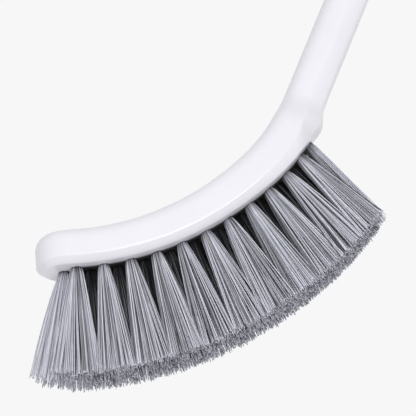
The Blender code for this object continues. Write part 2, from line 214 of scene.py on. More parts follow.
def add_rod(bm: bmesh.types.BMesh, frame: Matrix, radius: float, ends: Pair, sides: int) -> None:
    """Adds a closed rod along a frame's Z axis.

    Args:
        bm: The shape that gets the rod.
        frame: Matrix of the frame.
        radius: Radius of the rod.
        ends: Heights of its lower and upper end in the frame.
        sides: How many sides it has.
    """
    bmesh.ops.create_cone(
        bm,
        cap_ends=True,
        segments=sides,
        radius1=radius,
        radius2=radius,
        depth=ends[1] - ends[0],
        matrix=frame @ Matrix.Translation(OUTWARD * (sum(ends) / 2)),
    )


def cut(obj: bpy.types.Object, cutter: bpy.types.Object) -> None:
    """Takes a cutter's shape out of an object's mesh for good, and removes the cutter.

    Args:
        obj: The object that loses the shape.
        cutter: The shape to take out.
    """
    modifier = obj.modifiers.new("cut", "BOOLEAN")
    modifier.operation = "DIFFERENCE"
    modifier.solver = "EXACT"
    modifier.object = cutter
    graph = bpy.context.evaluated_depsgraph_get()
    made = bpy.data.meshes.new_from_object(obj.evaluated_get(graph))
    obj.modifiers.clear()
    old = obj.data
    obj.data = made
    made.name = old.name
    bpy.data.meshes.remove(old)
    bpy.data.meshes.remove(cutter.data)
    smooth(made)


def dress(piece: bpy.types.Object, material: bpy.types.Material, node: str) -> None:
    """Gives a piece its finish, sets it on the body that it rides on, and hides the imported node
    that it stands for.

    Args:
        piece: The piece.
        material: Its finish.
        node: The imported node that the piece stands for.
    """
    piece.data.materials.append(material)
    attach(piece, BODY)
    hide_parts(node)


# Finishes


@dataclass(frozen=True)
class Nodes:
    """The nodes of a material or of the world, added one by one."""

    tree: bpy.types.NodeTree

    @classmethod
    def cleared(cls, owner: bpy.types.Material | bpy.types.World) -> Nodes:
        """Turns a material's or a world's nodes on, and clears them.

        Args:
            owner: The material or world.

        Returns:
            Its nodes.
        """
        owner.use_nodes = True
        owner.node_tree.nodes.clear()
        return cls(owner.node_tree)

    def add(
        self,
        kind: str,
        inputs: dict[str | int, Socket | float | Sequence[float]] | None = None,
        output: str | int = 0,
        **settings: str | bool,
    ) -> Socket:
        """Adds a node.

        Args:
            kind: Its type, less the word ShaderNode.
            inputs: Links and values for its inputs, by their name or number.
            output: Name or number of the output that is wanted.
            **settings: The node's own settings.

        Returns:
            That output.
        """
        node = self.tree.nodes.new(f"ShaderNode{kind}")
        for name, setting in settings.items():
            setattr(node, name, setting)
        for key, value in (inputs or {}).items():
            if isinstance(value, Socket):
                self.tree.links.new(value, node.inputs[key])
            else:
                node.inputs[key].default_value = value
        return node.outputs[output]

    def show(self, kind: str, surface: Socket) -> None:
        """Adds the output node that shows a surface."""
        self.tree.links.new(surface, self.tree.nodes.new(f"ShaderNode{kind}").inputs["Surface"])

    def feed(self, name: str, value: Socket | float | Sequence[float]) -> None:
        """Gives the Principled shader a link or a value.

        Args:
            name: Name of the shader's input.
            value: What it gets.
        """
        target = self.tree.nodes["Principled BSDF"].inputs[name]
        if isinstance(value, Socket):
            self.tree.links.new(value, target)
        else:
            target.default_value = value

    def noise(self, scale: float, detail: float, stretch: Sequence[float] = EVEN) -> Socket:
        """Adds a noise that sits still on the piece.

        Args:
            scale: Bumps of the noise to a metre.
            detail: Finer layers of the noise.
            stretch: Scale along each axis of the object.

        Returns:
            The noise's value, about 0.5 on average.
        """
        place = self.add("TexCoord", output="Object")
        place = self.add("Mapping", {"Vector": place, "Scale": stretch})
        return self.add("TexNoise", {"Vector": place, "Scale": scale, "Detail": detail}, "Fac")

    def remap(self, value: Socket, given: Pair, wanted: Pair, **settings: str) -> Socket:
        """Carries a value from one span over to another.

        Args:
            value: The value.
            given: Both ends of its span.
            wanted: What they become.
            **settings: The node's own settings.

        Returns:
            The new value.
        """
        spans = dict(zip(("From Min", "From Max", "To Min", "To Max"), given + wanted))
        return self.add("MapRange", {"Value": value, **spans}, **settings)

    def combine(
        self, operation: str, first: Socket, second: Socket | float = 0.0, **settings: bool
    ) -> Socket:
        """Combines two values, or works on the first."""
        return self.add("Math", {0: first, 1: second}, operation=operation, **settings)

    def mix(self, share: Socket, low: Socket | Sequence[float], high: Sequence[float]) -> Socket:
        """Mixes two colours."""
        inputs = {"Factor": share, "A": low, "B": high}
        return self.add("Mix", inputs, "Result", data_type="RGBA")

    def bump(self, value: Socket, height: float) -> None:
        """Raises the surface by up to a height, as a value rises."""
        inputs = {"Height": value, "Distance": height, "Strength": 1.0}
        self.feed("Normal", self.add("Bump", inputs, "Normal"))

    def plain_view(self) -> Socket:
        """Tells the rays that see the surroundings plainly: camera, glossy and transmission.

        Returns:
            1 for these rays, and 0 for others.
        """
        path = self.tree.nodes.new("ShaderNodeLightPath")
        value = path.outputs["Is Camera Ray"]
        for name in ("Is Glossy Ray", "Is Transmission Ray"):
            value = self.combine("MAXIMUM", value, path.outputs[name])
        return value


@dataclass(frozen=True)
class Finish(ABC):
    """A procedural finish on a Principled shader."""

    name: str
    colour: Colour
    roughness: Pair  # Lowest and highest over the surface.
    specular: float = 0.5
    metallic: float = 0.0

    @abstractmethod
    def pattern(self, nodes: Nodes) -> None:
        """Adds what varies over the surface."""

    def make(self) -> bpy.types.Material:
        """Makes the material.

        Returns:
            The material.
        """
        material = bpy.data.materials.new(self.name)
        material.use_nodes = True
        nodes = Nodes(material.node_tree)
        nodes.feed("Base Color", opaque(self.colour))
        nodes.feed("Metallic", self.metallic)
        nodes.feed("Specular IOR Level", self.specular)
        self.pattern(nodes)
        return material

    def tint(self, nodes: Nodes, value: Socket, low: Colour) -> Socket:
        """A colour that runs from a low tint at 0 up to the finish's own at 1."""
        return nodes.mix(value, opaque(low), opaque(self.colour))

    def gloss(self, nodes: Nodes, noise: Socket) -> Socket:
        """A roughness that follows a noise between its two ends."""
        return nodes.remap(noise, NOISE_SPAN, self.roughness)


@dataclass(frozen=True)
class MouldedPlastic(Finish):
    """White polypropylene as it leaves a polished mould: glossy, with a faint orange peel, and
    with shade painted dark on the bristle face between the tufts.
    """

    name: str = "white_polypropylene_gloss"
    colour: Colour = (0.905, 0.893, 0.95)
    roughness: Pair = (0.12, 0.17)
    specular: float = 0.95
    cloud_tint: Colour = (0.86, 0.848, 0.902)  # Of the faint clouds that the melt leaves.
    cloud_scale: float = 38.0
    cloud_detail: float = 3.0
    peel_scale: float = 420.0
    peel_detail: float = 1.5
    peel_height: float = 0.000003
    painted_shade_tint: Colour = (0.012, 0.012, 0.014)  # Painted shade, deep between the tufts.
    painted_shade_middle: float = 0.0012  # Across the head, of the middle of that shade.
    painted_shade_sides: Pair = (0.0052, 0.0076)  # From there to where it is fullest, and to its end.

    def pattern(self, nodes: Nodes) -> None:
        """Clouds the plastic, gives it its peel, and paints shade between the tufts, dark and matt
        there.

        Args:
            nodes: The material's nodes.
        """
        clouds = nodes.noise(self.cloud_scale, self.cloud_detail)
        shade_mask = self.shade_mask(nodes)
        colour = self.tint(nodes, clouds, self.cloud_tint)
        # Painted shade: the colour goes nearly black on the bristle face between the tufts.
        nodes.feed("Base Color", nodes.mix(shade_mask, colour, opaque(self.painted_shade_tint)))
        nodes.feed("Roughness", nodes.combine("MAXIMUM", shade_mask, self.gloss(nodes, clouds)))
        nodes.bump(nodes.noise(self.peel_scale, self.peel_detail), self.peel_height)

    def shade_mask(self, nodes: Nodes) -> Socket:
        """Finds the bristle face between the tufts, where shade is painted.

        Args:
            nodes: The material's nodes.

        Returns:
            1 there, and 0 on the open plastic.
        """
        place = nodes.add("TexCoord", output="Object")
        across = nodes.add("SeparateXYZ", {"Vector": place}, "Y")
        side = nodes.combine("ABSOLUTE", nodes.combine("SUBTRACT", across, self.painted_shade_middle))
        span = self.painted_shade_sides[::-1]
        inside = nodes.remap(side, span, (0.0, 1.0), interpolation_type="SMOOTHSTEP")
        tufted = nodes.add("Attribute", output="Fac", attribute_name=SHADED_FACE_LAYER)
        return nodes.combine("MULTIPLY", inside, tufted)


@dataclass(frozen=True)
class BristleFilament(Finish):
    """Grey nylon filament, each strand of its own tone, with shade painted deep in the tuft."""

    name: str = "grey_nylon_filament"
    colour: Colour = (0.82, 0.83, 0.915)
    roughness: Pair = (0.42, 0.56)
    specular: float = 0.15
    deep_shade_tint: Colour = (0.004, 0.004, 0.005)  # Painted shade: the colour where the tone is 0.
    fleck_scale: float = 260.0
    fleck_detail: float = 2.0
    fleck_weights: Pair = (0.90, 1.10)  # What the flecks do to the tone.

    def pattern(self, nodes: Nodes) -> None:
        """Gives each strand its tone and its painted shade, a little flecked.

        Args:
            nodes: The material's nodes.
        """
        tone = nodes.add("Attribute", output="Fac", attribute_name=TONE_AND_SHADE_LAYER)
        flecks = nodes.noise(self.fleck_scale, self.fleck_detail)
        weight = nodes.remap(flecks, (0.0, 1.0), self.fleck_weights)
        light = nodes.combine("MULTIPLY", tone, weight, use_clamp=True)
        nodes.feed("Base Color", self.tint(nodes, light, self.deep_shade_tint))
        nodes.feed("Roughness", self.gloss(nodes, flecks))


@dataclass(frozen=True)
class DrawnSteel(Finish):
    """Flat drawn wire of the staples, brushed lengthwise."""

    name: str = "drawn_staple_steel"
    colour: Colour = (0.62, 0.61, 0.58)
    roughness: Pair = (0.25, 0.40)
    metallic: float = 1.0
    dull_tint: Colour = (0.45, 0.44, 0.42)  # Of the duller streaks.
    line_scale: float = 700.0
    line_detail: float = 2.0
    line_height: float = 0.000008
    line_stretch: Sequence[float] = (0.2, 1.0, 1.0)  # Long along the wire.

    def pattern(self, nodes: Nodes) -> None:
        """Draws the lines that the wire's die left.

        Args:
            nodes: The material's nodes.
        """
        lines = nodes.noise(self.line_scale, self.line_detail, self.line_stretch)
        nodes.feed("Base Color", self.tint(nodes, lines, self.dull_tint))
        nodes.feed("Roughness", self.gloss(nodes, lines))
        nodes.bump(lines, self.line_height)


# Layout


@dataclass(frozen=True)
class CentreLine:
    """Centre line of the moulding: straight handle, neck arc, head arc, short straight toe."""

    hanging_length: float = 0.240  # From the hang hole to the start of the neck.
    neck_radius: float = 0.078
    neck_turn: float = math.radians(20.0)
    head_radius: float = 0.110
    head_turn: float = math.radians(45.2)
    toe_run: float = 0.0159

    @property
    def parts(self) -> tuple[Pair, ...]:
        """Lists the line's parts, from the hang hole to the tip of the toe.

        Returns:
            Length and turn of each part.
        """
        neck = (self.neck_radius * self.neck_turn, self.neck_turn)
        head = (self.head_radius * self.head_turn, self.head_turn)
        return (self.hanging_length, 0.0), neck, head, (self.toe_run, 0.0)

    @property
    def length(self) -> float:
        """Whole length from the hang hole to the tip of the toe."""
        return sum(length for length, _ in self.parts)

    @staticmethod
    def heading(turn: float) -> Vector:
        """Direction of travel after a turn from straight down."""
        return Vector((-math.sin(turn), 0.0, -math.cos(turn)))

    @staticmethod
    def face_normal(turn: float) -> Vector:
        """Direction from the centre line to the bristle face after a turn."""
        return Vector((math.cos(turn), 0.0, -math.sin(turn)))

    def at(self, distance: float) -> tuple[Vector, float]:
        """Finds a place on the line.

        Args:
            distance: Distance from the hang hole; below zero lies above it.

        Returns:
            The point and the turn there.
        """
        point, turn = Vector(), 0.0
        for length, whole_turn in self.parts:
            step = min(distance, length)
            distance -= step
            if whole_turn:
                before = self.face_normal(turn)
                turn += whole_turn * step / length
                point += (self.face_normal(turn) - before) * (length / whole_turn)
            else:
                point += self.heading(turn) * step
        return point, turn


@dataclass(frozen=True)
class Spot:
    """Which tuft: its row, and its number from the toe, from 0."""

    row: Row
    index: int

    @property
    def at_toe(self) -> bool:
        """Whether it is its row's first tuft."""
        return self.index == 0

    @property
    def label(self) -> str:
        """The tuft's row and number as its name gives them."""
        return f"{self.row.name.lower()}_{self.index + 1:02d}"

    @property
    def seed(self) -> int:
        """The seed of the tuft's own random numbers."""
        return MIDDLE_ROW_SEED + ROW_SEED_STEP * self.row.value + self.index


@dataclass(frozen=True)
class TuftPlan:
    """Places, directions and lengths of the tufts."""

    line: CentreLine
    row_tufts: int = 11  # In an outer row; the middle row has one more.
    row_spacing: float = 0.0036
    toe_to_first: float = 0.0161  # From the tip of the toe to an outer row's first tuft.
    pitch: float = 0.01015  # Between tufts at the toe.
    heel_pitch: float = 0.0086  # Between the last two at the heel.
    pitch_power: int = 3  # How late the pitch falls.
    first_offset: float = 0.0049  # From an outer row's first tuft to the middle row's.
    last_offset: float = 0.0066  # From an outer row's last tuft to the middle row's.
    heel_margin: float = 0.0035  # From an outer row's last tuft to the end of the full width.
    hole_diameter: float = 0.0048
    hole_depth: float = 0.0062
    toe_length: float = 0.0475  # Of the bristle at the toe.
    heel_length: float = 0.0420  # Of the bristle at the heel.
    middle_gain: float = 0.0006  # How much longer it is halfway.
    toe_angle: float = math.radians(24.5)  # Of the first tuft, from straight down towards +X.
    heel_angle: float = math.radians(63.0)  # Of the last tuft.
    toe_end_lean: float = math.radians(-7.5)  # Further lean of the middle row's first tuft.
    heel_end_lean: float = math.radians(-5.0)  # Further lean of the middle row's last tuft.
    row_lean: float = math.radians(4.5)  # Outward lean of the outer rows.
    toe_open: float = 0.0004  # From an outer row's first tuft to where the painted shade is half faded.
    heel_open: float = 0.0010  # From the middle row's last tuft to where it is, the other way.
    end_fade: float = 0.0060  # Over which that painted shade fades at either end, on the bristle.

    def outer_places(self) -> list[float]:
        """Works out where an outer row's tufts stand.

        Returns:
            Their distances along the line, from the toe to the heel.
        """
        last = self.row_tufts - 2
        fall = self.pitch - self.heel_pitch
        places = [self.line.length - self.toe_to_first]
        for i in range(last + 1):
            places.append(places[-1] - self.pitch + fall * (i / last) ** self.pitch_power)
        return places

    def places(self, row: Row) -> list[float]:
        """Works out where one row's tufts stand.

        Args:
            row: The row.

        Returns:
            Their distances along the line, from the toe to the heel.
        """
        outer = self.outer_places()
        if row is not Row.MIDDLE:
            return outer
        between = [(a + b) / 2 for a, b in zip(outer, outer[1:])]
        return [outer[0] + self.first_offset, *between, outer[-1] - self.last_offset]

    def place(self, spot: Spot) -> float:
        """Distance of a tuft along the line."""
        return self.places(spot.row)[spot.index]

    def spots(self) -> Iterator[Spot]:
        """Every tuft in turn, row by row."""
        return (Spot(row, index) for row in Row for index in range(self.last(row) + 1))

    def last(self, row: Row) -> int:
        """Number of a row's last tuft, from 0."""
        return self.row_tufts if row is Row.MIDDLE else self.row_tufts - 1

    def at_heel(self, spot: Spot) -> bool:
        """Whether a tuft is its row's last."""
        return spot.index == self.last(spot.row)

    @property
    def heel_distance(self) -> float:
        """Where the head's full width ends."""
        return self.outer_places()[-1] - self.heel_margin

    def enclosure(self, distance: float, fade: float) -> float:
        """How far a place on the line lies between tufts on all sides.

        Args:
            distance: Distance along the centre line.
            fade: Length over which it falls at either end.

        Returns:
            1 from the first outer tuft to the last middle one, and 0 beyond them.
        """
        toe_end = self.places(Row.NEAR)[0] + self.toe_open + fade / 2
        heel_end = self.places(Row.MIDDLE)[-1] + self.heel_open - fade / 2
        return ramp(toe_end, distance, fade) * ramp(distance, heel_end, fade)

    def share(self, spot: Spot) -> float:
        """0 at an outer row's toe tuft and 1 at its heel tuft."""
        offset = -0.5 if spot.row is Row.MIDDLE else 0.0
        return (spot.index + offset) / (self.row_tufts - 1)

    def angle(self, spot: Spot) -> float:
        """Direction of a tuft's axis.

        Args:
            spot: Which tuft.

        Returns:
            The angle from straight down towards +X.
        """
        share = self.share(spot)
        angle = blend(self.toe_angle, self.heel_angle, share)
        if share < 0.0:
            angle += self.toe_end_lean
        if share > 1.0:
            angle += self.heel_end_lean
        return angle

    def length(self, spot: Spot) -> float:
        """Works out how long a tuft is.

        Args:
            spot: Which tuft.

        Returns:
            Its length from the bristle face to its trimmed tips.
        """
        share = self.share(spot)
        gain = self.middle_gain * math.sin(math.pi * share)
        return blend(self.toe_length, self.heel_length, share) + gain

    def lean(self, row: Row) -> Matrix:
        """Outward turn of a row about its tufts' own X axis."""
        return Matrix.Rotation(-row.value * self.row_lean, 4, "X")

    def frame(self, spot: Spot, face: float) -> Matrix:
        """Places a tuft's mouth.

        Args:
            spot: Which tuft.
            face: Distance of the bristle face from the centre line there.

        Returns:
            A matrix with X along the head, Y across it and Z out along the tuft.
        """
        point, turn = self.line.at(self.place(spot))
        mouth = point + self.line.face_normal(turn) * face
        mouth.y = spot.row.value * self.row_spacing
        angle = self.angle(spot)
        down = Vector((math.sin(angle), 0.0, -math.cos(angle)))
        across = Vector((0.0, 1.0, 0.0))
        return stand(mouth, across.cross(down), across, down) @ self.lean(spot.row)


# Moulding


@dataclass(frozen=True)
class Edge:
    """A rounded edge between the moulding's side and its back or face, drawn in three bends."""

    width: float  # How far it reaches in from the side.
    height: float  # How far it reaches down the side.
    bends: Sequence[float] = (math.radians(30.0), math.radians(60.0))  # Where the first two end.
    radii: Sequence[float] = (1.0, 1.0, 1.0)  # Of the three bends, in proportion.

    @property
    def stops(self) -> tuple[float, ...]:
        """Turns at which each of the bends ends."""
        return (*self.bends, QUARTER_TURN)

    def raw(self, angle: float) -> Pair:
        """Follows the edge before it is brought to size.

        Args:
            angle: The turn, from 0 at the side to a quarter turn.

        Returns:
            How far in the edge has got, and how far along the side.
        """
        inward, along, start = 0.0, 0.0, 0.0
        for stop, radius in zip(self.stops, self.radii):
            end = max(min(stop, angle), start)
            inward += radius * (math.cos(start) - math.cos(end))
            along += radius * (math.sin(end) - math.sin(start))
            start = end
        return inward, along

    def at(self, angle: float) -> Pair:
        """Follows the edge from the side.

        Args:
            angle: The turn, from 0 at the side to a quarter turn.

        Returns:
            How far in the edge has got, and how far along the side.
        """
        inward, along = self.raw(angle)
        most_inward, most_along = self.raw(QUARTER_TURN)
        return self.width * inward / most_inward, self.height * along / most_along

    def angle_at(self, inward: float) -> float:
        """Finds the turn at which the edge has got a given way in.

        Args:
            inward: How far in it has got.

        Returns:
            The turn, a quarter turn at most.
        """
        low, high = 0.0, QUARTER_TURN
        for _ in range(SEARCH_STEPS):
            middle = (low + high) / 2
            if self.at(middle)[0] < inward:
                low = middle
            else:
                high = middle
        return high

    def turns(self, steps: int, last: float) -> list[float]:
        """Turns at which the edge gets its points.

        Args:
            steps: Facets of each of its bends.
            last: The last turn, a quarter turn or less.

        Returns:
            One more turn than there are facets.
        """
        turns, start = [], 0.0
        for stop in self.stops:
            turns += spread(start, stop, steps)
            start = stop
        return [turn * last / QUARTER_TURN for turn in [*turns, QUARTER_TURN]]


@dataclass(frozen=True)
class Section:
    """The moulding's section at one place, from the centre line to its back and its face."""

    half_width: float
    back: float
    face: float
    back_edge: Edge
    face_edge: Edge


@dataclass(frozen=True)
class Moulding:
    """Handle, neck and head in one glossy moulding, drilled for the tufts and for hanging.

    The size of an edge is its width, in from the side, and its height down the side. Bends and
    radii are those of the edges at the face, as Edge has them. A run is a stretch over which the
    shape changes: the lead of its start on the end of the full width, and its length.
    """

    line: CentreLine
    plan: TuftPlan
    finish: MouldedPlastic
    head_width: float = 0.0245
    head_back_edge: Pair = (0.0040, 0.0056)
    head_face_edge: Pair = (0.0041, 0.00275)
    head_bends: Pair = (math.radians(47.0), math.radians(57.0))
    head_radii: Sequence[float] = (0.80, 16.0, 1.4)  # A ridge, a bevel and a soft end.
    toe_depth: float = 0.0146
    handle_width: float = 0.0150
    handle_depth: float = 0.0166
    handle_back_edge: Pair = (0.0066, 0.0066)
    handle_face_edge: Pair = (0.0059, 0.0070)
    handle_bends: Pair = (math.radians(27.0), math.radians(47.0))
    handle_radii: Sequence[float] = (4.0, 16.0, 3.0)
    crease_run: Pair = (0.0450, 0.0450)  # The handle's soft ridge becomes the head's.
    bevel_run: Pair = (0.0450, 0.1450)  # The bevel grows steeper.
    shoulder_run: Pair = (0.0170, 0.0170)  # The face's edges become as low as the head's.
    widening_run: Pair = (0.0205, 0.0160)  # The handle widens into the head.
    edge_growth: float = 0.85  # Power at which the face's edges widen with the handle.
    narrowing_run: Pair = (0.0070, 0.0100)  # These edges then narrow.
    back_blend_length: float = 0.0500  # Over which the back edges grow sharper, from the neck.
    heel_rise: float = 0.0013  # How far the bristle face stands out at the heel.
    heel_fade_run: Pair = (0.0, 0.0400)  # That fades.
    shoulder_rise: float = 0.0020  # Of the rounded shoulder above the last tufts.
    shoulder_back: float = 0.0124  # From its peak to the end of the full width.
    shoulder_reach: float = 0.0092  # Over which it falls away towards the handle.
    shoulder_toe_reach: float = 0.0066  # Over which it falls away towards the toe.
    eye_width: float = 0.0100
    eye_depth: float = 0.0210
    eye_edge: Pair = (0.0030, 0.0030)
    eye_flare_length: float = 0.0450  # Over which the handle becomes the hanging eye.
    hang_hole_diameter: float = 0.0090
    hang_hole_sides: int = 64
    tuft_hole_sides: int = 28
    overrun: float = 0.0020  # How far a drill runs past the surface.
    painted_shade_fade: float = 0.0020  # Over which the painted shade between the tufts fades, on the plastic.
    edge_steps: int = 5  # Facets across each bend of an edge.
    end_room: float = 0.98  # Share of an end that its edges may fill.
    end_start: float = 0.05  # Place of a round end's first section, as a share of its turn.
    end_steps: int = 16  # Sections round an end, and along each part of the handle.
    head_steps: int = 90

    def past(self, run: Pair, distance: float) -> float:
        """An eased share: 0 before a run, and 1 past it."""
        return ramp(distance, self.plan.heel_distance - run[0], run[1])

    def eye_share(self, distance: float) -> float:
        """1 at the hang hole and above it, and 0 below the flare."""
        return smooth_step(1.0 - distance / self.eye_flare_length)

    def depth(self, distance: float) -> float:
        """Works out the depth from back to face: even down to the neck, then less and less.

        Args:
            distance: Distance along the centre line.

        Returns:
            The depth there.
        """
        start = self.line.hanging_length
        share = max(distance - start, 0.0) / (self.line.length - start)
        depth = blend(self.handle_depth, self.toe_depth, share)
        return blend(depth, self.eye_depth, self.eye_share(distance))

    def swell(self, distance: float) -> float:
        """How far the bristle face stands out near the heel."""
        left = 1.0 - self.past(self.heel_fade_run, distance)
        return self.heel_rise * self.past(self.shoulder_run, distance) * left

    def face_offset(self, distance: float) -> float:
        """Works out how far the bristle face lies from the centre line.

        Args:
            distance: Distance along the centre line.

        Returns:
            The distance square to it.
        """
        from_peak = distance - self.plan.heel_distance + self.shoulder_back
        reach = self.shoulder_toe_reach if from_peak > 0.0 else self.shoulder_reach
        shoulder = self.shoulder_rise * smooth_step(1.0 - abs(from_peak) / reach)
        return self.depth(distance) / 2 + self.swell(distance) + shoulder

    def mouth(self, spot: Spot) -> Matrix:
        """Matrix of a tuft's mouth in the bristle face."""
        return self.plan.frame(spot, self.face_offset(self.plan.place(spot)))

    def face_edge(self, distance: float, width: float) -> list[float]:
        """Works out the size of the two edges at the bristle face.

        Args:
            distance: Distance along the centre line.
            width: Width of the moulding there.

        Returns:
            Their width and height, as they are without the hanging eye.
        """
        handle, head = self.handle_face_edge, self.head_face_edge
        wide = handle[0] * (width / self.handle_width) ** self.edge_growth
        edge_width = blend(wide, head[0], self.past(self.narrowing_run, distance))
        edge_height = blend(handle[1], head[1], self.past(self.shoulder_run, distance))
        return [edge_width, edge_height + self.swell(distance)]

    def section(self, distance: float) -> Section:
        """Works out the section at a place.

        Args:
            distance: Distance along the centre line.

        Returns:
            The section, drawn in at the round ends.
        """
        eye = self.eye_share(distance)
        widening = self.past(self.widening_run, distance)
        width = blend(self.handle_width, self.head_width, widening)
        past_neck = ramp(distance, self.line.hanging_length, self.back_blend_length)
        back_edge = blend_all(self.handle_back_edge, self.head_back_edge, past_neck)
        back_edge = blend_all(back_edge, self.eye_edge, eye)
        face_edge = blend_all(self.face_edge(distance, width), self.eye_edge, eye)
        bevel = self.past(self.bevel_run, distance)
        bends = blend_all(self.handle_bends, self.head_bends, bevel)
        crease = self.past(self.crease_run, distance)
        radii = blend_all(self.handle_radii, self.head_radii, crease)
        half_width = blend(width, self.eye_width, eye) / 2
        half_width -= rounding(self.head_width / 2, self.line.length - distance)
        half_depth = self.depth(distance) / 2
        back, face = -half_depth, self.face_offset(distance)
        if distance < 0.0:
            half_depth = math.sqrt(max(half_depth**2 - distance**2, 0.0))
            half_width -= rounding(self.eye_edge[0], self.eye_depth / 2 + distance)
            back, face = -half_depth, half_depth
        most = (face - back) / 2
        return Section(
            half_width,
            back,
            face,
            Edge(back_edge[0], min(back_edge[1], most)),
            Edge(face_edge[0], min(face_edge[1], most), bends, radii),
        )

    def inset(self, distance: float, half_width: float, inward: float) -> float:
        """Half the section's width, a given way in from the outline of the moulding.

        Args:
            distance: Distance along the centre line.
            half_width: Half the section's whole width.
            inward: How far in from the outline, square to it.

        Returns:
            The half width there, which shrinks faster round the toe.
        """
        toe_radius = self.head_width / 2
        from_tip = self.line.length - distance
        if from_tip >= toe_radius:
            return half_width - inward
        left = (toe_radius - inward) ** 2 - (toe_radius - from_tip) ** 2
        return math.sqrt(max(left, 0.0))

    def ring(self, distance: float) -> list[Vector]:
        """Points round the section at a place.

        Args:
            distance: Distance along the centre line.

        Returns:
            The points in world space, edge by edge.
        """
        section = self.section(distance)
        point, turn = self.line.at(distance)
        normal = self.line.face_normal(turn)
        room = self.end_room * min(self.line.length - distance, section.half_width)
        places = []
        for corner in range(4):
            on_face = corner < 2
            edge = section.face_edge if on_face else section.back_edge
            side = -1.0 if corner in (0, 3) else 1.0
            turns = edge.turns(self.edge_steps, edge.angle_at(room))
            for angle in turns if corner % 2 == 0 else reversed(turns):
                inward, along = edge.at(angle)
                drop = edge.height - along
                place = point + normal * (section.face - drop if on_face else section.back + drop)
                place.y = side * self.inset(distance, section.half_width, inward)
                places.append(place)
        return places

    def end_distances(self, radius: float) -> list[float]:
        """Distances from a round end, close together at the tip, up to its radius."""
        shares = spread(self.end_start, 1.0, self.end_steps)
        return [radius * (1.0 - math.cos(share * QUARTER_TURN)) for share in shares]

    def distances(self) -> list[float]:
        """Chooses the places of the sections.

        Returns:
            Their distances along the line, from the top to the tip of the toe.
        """
        heel = self.plan.heel_distance
        toe = self.line.length - self.head_width / 2
        top = self.eye_depth / 2
        flare, neck = self.eye_flare_length, self.line.hanging_length
        stops = (0.0, flare, neck, heel - self.widening_run[0], heel)
        places = {toe, *spread(heel, toe, self.head_steps)}
        for start, end in zip(stops, stops[1:]):
            places.update(spread(start, end, self.end_steps))
        places.update(step - top for step in self.end_distances(top))
        places.update(self.line.length - step for step in self.end_distances(self.head_width / 2))
        return sorted(places)

    def skin(self) -> bmesh.types.BMesh:
        """Draws the first ring out along the line into a closed skin.

        Returns:
            The skin.
        """
        bm = bmesh.new()
        corner = bm.verts.layers.int.new("corner")
        distances = self.distances()
        first = self.ring(distances[0])
        start = bmesh.ops.create_circle(bm, cap_ends=True, segments=len(first), radius=1.0)
        for i, (vert, place) in enumerate(zip(start["verts"], first)):
            vert[corner] = i
            vert.co = place
        edges = list(bm.edges)
        for distance in distances[1:]:
            places = self.ring(distance)
            made = bmesh.ops.extrude_edge_only(bm, edges=edges)["geom"]
            for vert in only(made, bmesh.types.BMVert):
                vert.co = places[vert[corner]]
            edges = only(made, bmesh.types.BMEdge)
        bmesh.ops.contextual_create(bm, geom=edges)
        bm.verts.layers.int.remove(corner)
        return bm

    def tuft_drills(self) -> bpy.types.Object:
        """Makes every tuft hole's drill in one cutter.

        Returns:
            The cutter.
        """
        bm = bmesh.new()
        radius = self.plan.hole_diameter / 2
        ends = (-self.plan.hole_depth, self.overrun)
        for spot in self.plan.spots():
            add_rod(bm, self.mouth(spot), radius, ends, self.tuft_hole_sides)
        return link_mesh("tuft_drills", bm)

    def hang_drill(self) -> bpy.types.Object:
        """Makes the cutter of the hang hole.

        Returns:
            The cutter.
        """
        bm = bmesh.new()
        across = Matrix.Rotation(QUARTER_TURN, 4, "X")
        reach = self.eye_width / 2 + self.overrun
        radius = self.hang_hole_diameter / 2
        add_rod(bm, across, radius, (-reach, reach), self.hang_hole_sides)
        return link_mesh("hang_drill", bm)

    def mark_shaded_face(self, piece: bpy.types.Object) -> None:
        """Marks the side of the moulding that carries tufts, for the shade that its finish paints
        between them.

        Args:
            piece: The drilled moulding.
        """
        distances = self.distances()
        tree = KDTree(len(distances))
        for i, distance in enumerate(distances):
            tree.insert(self.line.at(distance)[0], i)
        tree.balance()
        layer = piece.data.attributes.new(SHADED_FACE_LAYER, "FLOAT", "POINT")
        for vert, value in zip(piece.data.vertices, layer.data):
            level = Vector((vert.co.x, 0.0, vert.co.z))
            near, i, _ = tree.find(level)
            normal = self.line.face_normal(self.line.at(distances[i])[1])
            if (level - near).dot(normal) > 0.0:
                value.value = self.plan.enclosure(distances[i], self.painted_shade_fade)

    def build(self) -> bpy.types.Object:
        """Makes the moulding and dresses it.

        Returns:
            The piece.
        """
        piece = link_mesh("glossy_handle_and_head", self.skin())
        cut(piece, self.hang_drill())
        cut(piece, self.tuft_drills())
        self.mark_shaded_face(piece)
        dress(piece, self.finish.make(), "handle_and_head")
        return piece


# Tufts


@dataclass(frozen=True)
class Strand:
    """One filament in its tuft's own frame."""

    root: Vector  # Where it leaves the plug.
    tip: Vector  # Its trimmed end.
    bow: Vector  # Sideways bend at its middle.
    splay: Vector  # How far it swells out of its tuft a quarter of the way along.
    tone: float  # Its own lightness, with painted light at the brush's ends.
    tip_tone: float  # Lightness of its cut tip.
    enclosed: float  # How far it stands between tufts on all sides, from 0 to 1.
    cover: float  # How much of the shade there falls on it; 1 is usual.
    gap_reach: float  # Distance from the bristle face over which that shade is deep.

    def at(self, share: float) -> Vector:
        """A point along the strand."""
        swell = self.splay * math.sin(math.pi * math.sqrt(share))
        return self.root.lerp(self.tip, share) + self.bow * math.sin(math.pi * share) + swell


